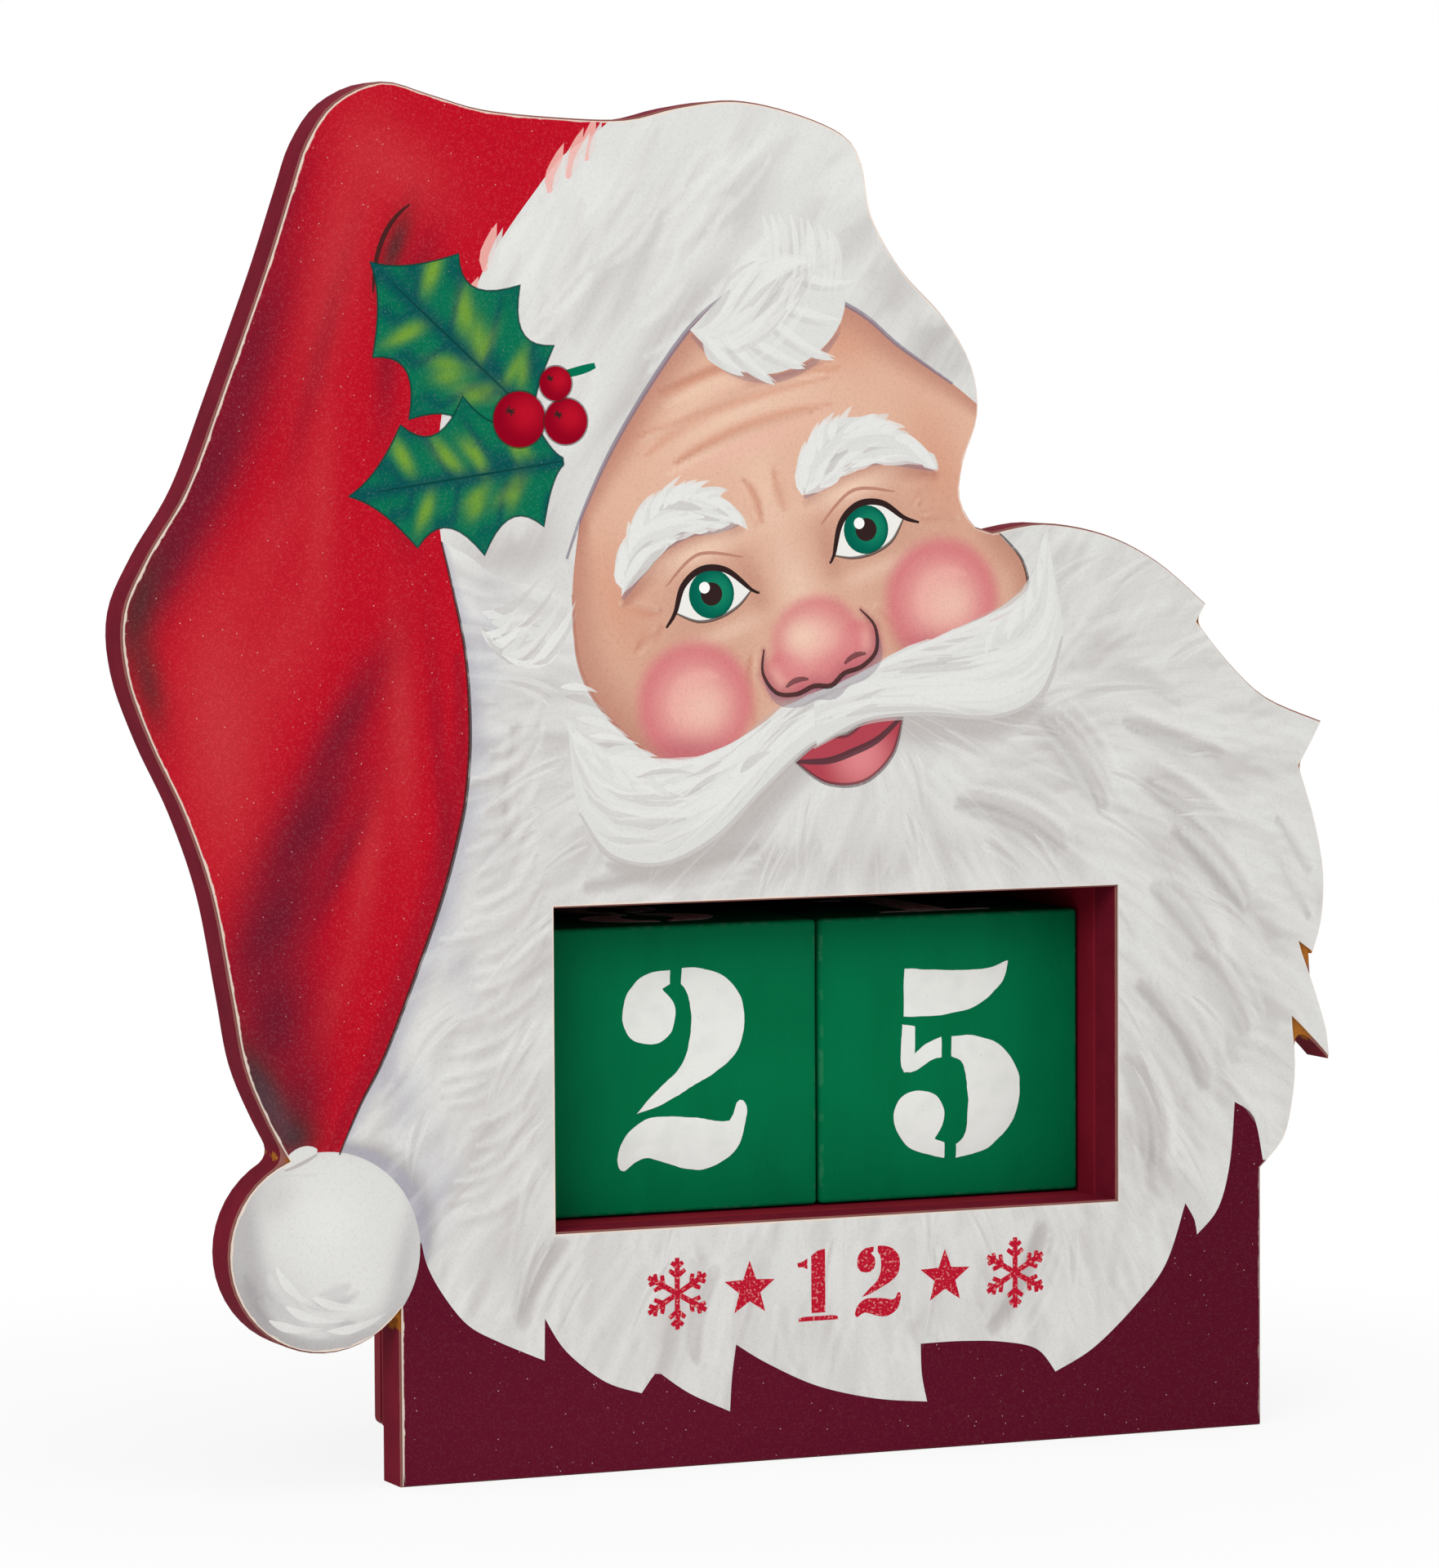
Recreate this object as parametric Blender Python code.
"""Tabletop countdown calendar: a sawn and printed plaque with a window, and a
small open housing behind it that holds two loose number cubes.

Metres, +Z up. The front looks along -Y. The origin is on the table, under the
middle of the whole object.
"""

from math import acos, cos, pi, radians, sin

import bmesh
import bpy
from mathutils import Vector
from mathutils.geometry import interpolate_bezier

# Plaque

PLAQUE_WIDTH = 0.2245
PLAQUE_HEIGHT = 0.2360
BASE_WIDTH = 0.1629
POMPOM_RADIUS = 0.0170
BOARD_THICKNESS = 0.0080
BOARD_REAR_EASE = 0.0006
FACING_THICKNESS = 0.0004
FACING_MARGIN = 0.0003
OUTLINE_FACET = 0.0022

# Number cubes and the room that they have

CUBE_SIZE = 0.0500
CUBE_EDGE_RADIUS = 0.0008
CUBE_EDGE_SEGMENTS = 3
CUBE_TO_CUBE = 0.0006
CUBE_TO_RIGHT_WALL = 0.0005
CUBE_SIDE_SLACK = 0.0049
CUBE_FINGER_GAP = 0.0049
CUBE_RECESS = 0.0148

# Housing behind the window

SHELF_HEIGHT = 0.0417
SIDE_THICKNESS = 0.0080
SHELF_THICKNESS = 0.0080
TOP_THICKNESS = 0.0080
BACK_THICKNESS = 0.0030
BACK_CORNER_RADIUS = 0.0014
BACK_CORNER_SEGMENTS = 4
PANEL_EASE = 0.0004

# Panel pins

PIN_LENGTH = 0.0160
PIN_RADIUS = 0.0006
PIN_HEAD_RADIUS = 0.0011
PIN_HEAD_HEIGHT = 0.0007
PIN_POINT_LENGTH = 0.0015
PIN_SINK = 0.0002
PIN_END_MARGIN = 0.0120
PIN_SIDES = 12
SIDE_PIN_COUNT = 4
END_PIN_COUNT = 2
LEVEL_PIN_COUNT = 2

# Glue line between pieces, how far a cutter runs past a face, and the turn past
# which an edge is shaded sharp

PIECE_GAP = 0.0003
CUT_OVERRUN = 0.0010
SHARP_ANGLE = radians(40)

# Outline, clockwise seen from the front. Points are shares of the plaque's
# width and height, and each run is one smooth stretch between two sharp corners.

POMPOM_CENTRE_SHARES = (0.1537, 0.1720)
POMPOM_REACH_SHARE = 0.785
POMPOM_HAT_ANGLE = radians(112)

HAT_RUN_SHARES = (
    (0.110, 0.265), (0.092, 0.306), (0.082, 0.357), (0.068, 0.427),
    (0.047, 0.485), (0.021, 0.537), (0.003, 0.585), (0.001, 0.628),
    (0.020, 0.668), (0.051, 0.715), (0.079, 0.781), (0.113, 0.865),
    (0.134, 0.923), (0.147, 0.957), (0.169, 0.985), (0.206, 1.000),
    (0.246, 0.991), (0.286, 0.981), (0.343, 0.976), (0.401, 0.975),
    (0.444, 0.984), (0.490, 0.989), (0.538, 0.981), (0.581, 0.965),
    (0.597, 0.944), (0.605, 0.906), (0.630, 0.867), (0.666, 0.832),
    (0.689, 0.797), (0.694, 0.761), (0.682, 0.727), (0.679, 0.700),
    (0.692, 0.679), (0.706, 0.675),
)

BEARD_RUNS_SHARES = (
    ((0.706, 0.675), (0.750, 0.681), (0.803, 0.672), (0.849, 0.651), (0.891, 0.619)),
    ((0.891, 0.619), (0.883, 0.606)),
    ((0.883, 0.606), (0.911, 0.575), (0.944, 0.548), (0.993, 0.529)),
    ((0.993, 0.529), (0.985, 0.515), (0.973, 0.496)),
    ((0.973, 0.496), (0.987, 0.455), (0.995, 0.415), (0.993, 0.379), (0.985, 0.354)),
    ((0.985, 0.354), (0.973, 0.363)),
    ((0.973, 0.363), (0.987, 0.328), (0.998, 0.295), (1.000, 0.274)),
    ((1.000, 0.274), (0.986, 0.288), (0.967, 0.306)),
    ((0.967, 0.306), (0.970, 0.272), (0.967, 0.242), (0.959, 0.215)),
)
SHOULDER_HEIGHT_SHARE = 0.1945
MITRE_LIMIT_SHARE = 3.0

# Colours from the painted and printed surfaces

MAROON = (0.135, 0.012, 0.028)
PRINT_WHITE = (0.700, 0.690, 0.665)
CUBE_GREEN = (0.001, 0.125, 0.042)
PIN_STEEL = (0.560, 0.560, 0.570)


def clear_scene():
    for item in list(bpy.data.objects):
        bpy.data.objects.remove(item, do_unlink=True)


def material(name, colour, roughness, metallic=0.0):
    made = bpy.data.materials.new(name)
    made.use_nodes = True
    shader = made.node_tree.nodes["Principled BSDF"]
    shader.inputs["Base Color"].default_value = (*colour, 1.0)
    shader.inputs["Roughness"].default_value = roughness
    shader.inputs["Metallic"].default_value = metallic
    made.diffuse_color = (*colour, 1.0)
    return made


def add_object(name, bm, finish=None):
    mesh = bpy.data.meshes.new(name)
    bmesh.ops.recalc_face_normals(bm, faces=bm.faces)
    bm.to_mesh(mesh)
    bm.free()
    item = bpy.data.objects.new(name, mesh)
    bpy.context.collection.objects.link(item)
    if finish:
        mesh.materials.append(finish)
    return item


def round_shaded(item):
    """Smooth shading over the round stretches, with the sharp edges kept."""
    item.data.shade_smooth()
    item.data.set_sharp_from_angle(angle=SHARP_ANGLE)
    return item


def smooth_run(points):
    """Points along a smooth curve through the given ones, both ends included."""
    padded = [points[0], *points, points[-1]]
    run = [points[0]]
    for before, start, end, after in zip(padded, padded[1:], padded[2:], padded[3:]):
        facets = max(1, round((end - start).length / OUTLINE_FACET))
        if len(points) == 2 or facets == 1:
            run.append(end)
            continue
        leave = start + (end - before) / 6
        arrive = end - (after - start) / 6
        run.extend(interpolate_bezier(start, leave, arrive, end, facets + 1)[1:])
    return run


def from_shares(pairs):
    return [Vector((across * PLAQUE_WIDTH, up * PLAQUE_HEIGHT)) for across, up in pairs]


def pompom_arc(centre, start_angle, end_angle):
    """The pompom's round edge, clockwise from the base to the hat."""
    facets = round(POMPOM_RADIUS * (start_angle - end_angle) / OUTLINE_FACET)
    arc = []
    for step in range(facets + 1):
        angle = start_angle + (end_angle - start_angle) * step / facets
        arc.append(centre + POMPOM_RADIUS * Vector((cos(angle), sin(angle))))
    return arc


def plaque_outline():
    """The whole edge of the plaque, and the base's left and right ends."""
    centre = from_shares([POMPOM_CENTRE_SHARES])[0]
    base_left = centre.x + POMPOM_RADIUS * POMPOM_REACH_SHARE
    base_right = base_left + BASE_WIDTH
    arc = pompom_arc(centre, -acos(POMPOM_REACH_SHARE), POMPOM_HAT_ANGLE - 2 * pi)

    edge = smooth_run([arc[-1], *from_shares(HAT_RUN_SHARES)])
    for run in BEARD_RUNS_SHARES[:-1]:
        edge.extend(smooth_run(from_shares(run))[1:])
    shoulder = Vector((base_right, SHOULDER_HEIGHT_SHARE * PLAQUE_HEIGHT))
    edge.extend(smooth_run([*from_shares(BEARD_RUNS_SHARES[-1]), shoulder])[1:])
    edge.append(Vector((base_right, 0)))
    edge.append(Vector((base_left, 0)))
    edge.extend(arc[:-1])

    middle = (min(p.x for p in edge) + max(p.x for p in edge)) / 2
    centred = [Vector((p.x - middle, p.y)) for p in edge]
    return centred, base_left - middle, base_right - middle


def drawn_in(edge, distance):
    """A clockwise edge moved inwards by a distance, with its corners mitred."""
    moved = []
    for before, here, after in zip([edge[-1], *edge], edge, [*edge[1:], edge[0]]):
        arriving = (here - before).normalized()
        leaving = (after - here).normalized()
        first = Vector((arriving.y, -arriving.x))
        second = Vector((leaving.y, -leaving.x))
        mitre = (first + second) / max(1 + first.dot(second), 1 / MITRE_LIMIT_SHARE)
        moved.append(here + mitre * distance)
    return moved


def rectangle(left, right, bottom, top):
    """A window's edge, run the other way round from the outline."""
    return [
        Vector((left, bottom)),
        Vector((right, bottom)),
        Vector((right, top)),
        Vector((left, top)),
    ]


def window_edge(margin=0):
    return rectangle(
        WINDOW_LEFT - margin,
        WINDOW_RIGHT + margin,
        SHELF_HEIGHT - margin,
        WINDOW_TOP + margin,
    )


def cut_sheet(name, layers, finish):
    """A flat sheet from layers of (depth, outline, window), front to back."""
    bm = bmesh.new()
    rings = []
    for depth, outline, window in layers:
        rings.append([[bm.verts.new((p.x, depth, p.y)) for p in edge] for edge in (outline, window)])
    for front, rear in zip(rings, rings[1:]):
        for near, far in zip(front, rear):
            for here in range(len(near)):
                after = (here + 1) % len(near)
                bm.faces.new((near[here], near[after], far[after], far[here]))
    for cap in (rings[0], rings[-1]):
        edges = []
        for ring in cap:
            edges.extend(bm.edges.get((a, b)) for a, b in zip(ring, [*ring[1:], ring[0]]))
        bmesh.ops.triangle_fill(bm, edges=edges, use_beauty=True)
    return add_object(name, bm, finish)


def block(name, low, high, ease, segments, finish, edge_test=None):
    """A box from corner to corner, with its chosen edges rounded by ease."""
    low = Vector(low)
    high = Vector(high)
    bm = bmesh.new()
    made = bmesh.ops.create_cube(bm, size=1)
    for vert in made["verts"]:
        vert.co = (low + high) / 2 + vert.co * (high - low)
    chosen = [edge for edge in bm.edges if edge_test is None or edge_test(edge)]
    bmesh.ops.bevel(
        bm,
        geom=chosen,
        offset=ease,
        offset_type="OFFSET",
        segments=segments,
        profile=0.5,
        affect="EDGES",
        clamp_overlap=True,
    )
    return add_object(name, bm, finish)


def pin_shape(bm, place, direction, growth=0):
    """One headed pin with its head at a place, driven along a direction.

    Growth widens and lengthens the pin, which gives the cutter for its hole.
    """
    turn = Vector((0, 0, 1)).rotation_difference(direction)
    head = PIN_HEAD_RADIUS + growth
    shank = PIN_RADIUS + growth
    start = -CUT_OVERRUN if growth else PIN_SINK
    under_head = PIN_SINK + PIN_HEAD_HEIGHT + growth
    end = PIN_LENGTH + growth
    profile = (
        (head, start),
        (head, under_head),
        (shank, under_head),
        (shank, end - PIN_POINT_LENGTH),
    )
    rings = []
    for radius, along in profile:
        ring = []
        for side in range(PIN_SIDES):
            angle = 2 * pi * side / PIN_SIDES
            spot = Vector((radius * cos(angle), radius * sin(angle), along))
            ring.append(bm.verts.new(place + turn @ spot))
        rings.append(ring)
    point = bm.verts.new(place + turn @ Vector((0, 0, end)))
    bm.faces.new(rings[0])
    for near, far in zip(rings, rings[1:]):
        for here in range(PIN_SIDES):
            after = (here + 1) % PIN_SIDES
            bm.faces.new((near[here], near[after], far[after], far[here]))
    for here in range(PIN_SIDES):
        bm.faces.new((rings[-1][here], rings[-1][(here + 1) % PIN_SIDES], point))


def drill(item, cutter):
    cut = item.modifiers.new("drill " + cutter.name, "BOOLEAN")
    cut.operation = "DIFFERENCE"
    cut.solver = "EXACT"
    cut.object = cutter


def spread(start, end, count):
    """Places spread evenly from start to end, both included."""
    return [start + (end - start) * step / (count - 1) for step in range(count)]


def between(start, end, count):
    """Places spread evenly between start and end, neither included."""
    return [start + (end - start) * (step + 1) / (count + 1) for step in range(count)]


OUTLINE, BASE_LEFT, BASE_RIGHT = plaque_outline()

# Widths and heights, worked out from the cubes

WINDOW_WIDTH = 2 * CUBE_SIZE + CUBE_TO_CUBE + CUBE_TO_RIGHT_WALL + CUBE_SIDE_SLACK
WINDOW_HEIGHT = CUBE_SIZE + PIECE_GAP + CUBE_FINGER_GAP
WINDOW_LEFT = (BASE_LEFT + BASE_RIGHT - WINDOW_WIDTH) / 2
WINDOW_RIGHT = WINDOW_LEFT + WINDOW_WIDTH
WINDOW_TOP = SHELF_HEIGHT + WINDOW_HEIGHT
HOUSING_LEFT = WINDOW_LEFT - SIDE_THICKNESS
HOUSING_RIGHT = WINDOW_RIGHT + SIDE_THICKNESS
HOUSING_TOP = WINDOW_TOP + TOP_THICKNESS

# Depths, front to back

DEPTH = CUBE_RECESS + CUBE_SIZE + PIECE_GAP + BACK_THICKNESS
FRONT = -DEPTH / 2
BOARD_FRONT = FRONT + FACING_THICKNESS + PIECE_GAP
BOARD_REAR = BOARD_FRONT + BOARD_THICKNESS
PANEL_FRONT = BOARD_REAR + PIECE_GAP
BACK_REAR = DEPTH / 2
BACK_FRONT = BACK_REAR - BACK_THICKNESS
PANEL_REAR = BACK_FRONT - PIECE_GAP
CUBE_FRONT = FRONT + CUBE_RECESS
CUBE_REAR = CUBE_FRONT + CUBE_SIZE


def build_board(finish):
    shoulder = BOARD_REAR - BOARD_REAR_EASE
    layers = (
        (BOARD_FRONT, OUTLINE, window_edge()),
        (shoulder, OUTLINE, window_edge()),
        (BOARD_REAR, drawn_in(OUTLINE, BOARD_REAR_EASE), window_edge()),
    )
    return cut_sheet("plaque_board", layers, finish)


def build_facing(finish):
    outline = drawn_in(OUTLINE, FACING_MARGIN)
    window = window_edge(FACING_MARGIN)
    layers = (
        (FRONT, outline, window),
        (FRONT + FACING_THICKNESS, outline, window),
    )
    return cut_sheet("printed_facing", layers, finish)


def build_side(name, left, finish):
    low = (left, PANEL_FRONT, 0)
    high = (left + SIDE_THICKNESS, PANEL_REAR, HOUSING_TOP)
    return block(name, low, high, PANEL_EASE, 1, finish)


def build_level_panel(name, bottom, thickness, finish):
    """The shelf or the ceiling, between the side panels."""
    low = (WINDOW_LEFT + PIECE_GAP, PANEL_FRONT, bottom)
    high = (WINDOW_RIGHT - PIECE_GAP, PANEL_REAR, bottom + thickness)
    return block(name, low, high, PANEL_EASE, 1, finish)


def build_back(finish):
    """The thin back, its four corners rounded."""

    def at_corner(edge):
        along = edge.verts[0].co - edge.verts[1].co
        return abs(along.y) > abs(along.x) + abs(along.z)

    low = (HOUSING_LEFT, BACK_FRONT, 0)
    high = (HOUSING_RIGHT, BACK_REAR, HOUSING_TOP)
    return block(
        "back_panel", low, high, BACK_CORNER_RADIUS, BACK_CORNER_SEGMENTS, finish, at_corner
    )


def build_cube(name, left, finish):
    bottom = SHELF_HEIGHT + PIECE_GAP
    low = (left, CUBE_FRONT, bottom)
    high = (left + CUBE_SIZE, CUBE_REAR, bottom + CUBE_SIZE)
    return round_shaded(block(name, low, high, CUBE_EDGE_RADIUS, CUBE_EDGE_SEGMENTS, finish))


def back_pin_places():
    """Heads on the back: up both side panels, and along the shelf and the top."""
    places = []
    for middle in (HOUSING_LEFT + SIDE_THICKNESS / 2, HOUSING_RIGHT - SIDE_THICKNESS / 2):
        for height in spread(PIN_END_MARGIN, HOUSING_TOP - PIN_END_MARGIN, SIDE_PIN_COUNT):
            places.append(Vector((middle, BACK_REAR, height)))
    for height in (SHELF_HEIGHT - SHELF_THICKNESS / 2, WINDOW_TOP + TOP_THICKNESS / 2):
        for across in between(WINDOW_LEFT, WINDOW_RIGHT, LEVEL_PIN_COUNT):
            places.append(Vector((across, BACK_REAR, height)))
    return places


def side_pin_places(across):
    """Heads on a side panel, over the ends of the shelf and the top."""
    places = []
    for height in (SHELF_HEIGHT - SHELF_THICKNESS / 2, WINDOW_TOP + TOP_THICKNESS / 2):
        for depth in between(PANEL_FRONT, PANEL_REAR, END_PIN_COUNT):
            places.append(Vector((across, depth, height)))
    return places


def build_pins(finish, back, left, right, shelf, top):
    """Three groups of pins and the holes that they stand in."""
    groups = (
        ("back_pin", back_pin_places(), Vector((0, -1, 0)), (back, left, right, shelf, top)),
        ("left_pin", side_pin_places(HOUSING_LEFT), Vector((1, 0, 0)), (left, shelf, top)),
        ("right_pin", side_pin_places(HOUSING_RIGHT), Vector((-1, 0, 0)), (right, shelf, top)),
    )
    for name, heads, direction, drilled in groups:
        holes = bmesh.new()
        for number, place in enumerate(heads, 1):
            pin = bmesh.new()
            pin_shape(pin, place, direction)
            round_shaded(add_object(f"{name}_{number}", pin, finish))
            pin_shape(holes, place, direction, PIECE_GAP)
        cutter = add_object(f"{name}_holes", holes)
        cutter.hide_render = True
        cutter.display_type = "WIRE"
        for item in drilled:
            drill(item, cutter)


def main():
    clear_scene()
    maroon = material("maroon paint on MDF", MAROON, 0.55)
    print_white = material("printed card", PRINT_WHITE, 0.45)
    green = material("green paint on wood", CUBE_GREEN, 0.50)
    steel = material("bright steel pin", PIN_STEEL, 0.35, 1.0)

    build_board(maroon)
    build_facing(print_white)
    left = build_side("left_side_panel", HOUSING_LEFT, maroon)
    right = build_side("right_side_panel", WINDOW_RIGHT, maroon)
    shelf = build_level_panel("cube_shelf", SHELF_HEIGHT - SHELF_THICKNESS, SHELF_THICKNESS, maroon)
    top = build_level_panel("top_panel", WINDOW_TOP, TOP_THICKNESS, maroon)
    back = build_back(maroon)
    build_pins(steel, back, left, right, shelf, top)

    units_left = WINDOW_RIGHT - CUBE_TO_RIGHT_WALL - CUBE_SIZE
    build_cube("tens_cube", units_left - CUBE_TO_CUBE - CUBE_SIZE, green)
    build_cube("units_cube", units_left, green)


main()
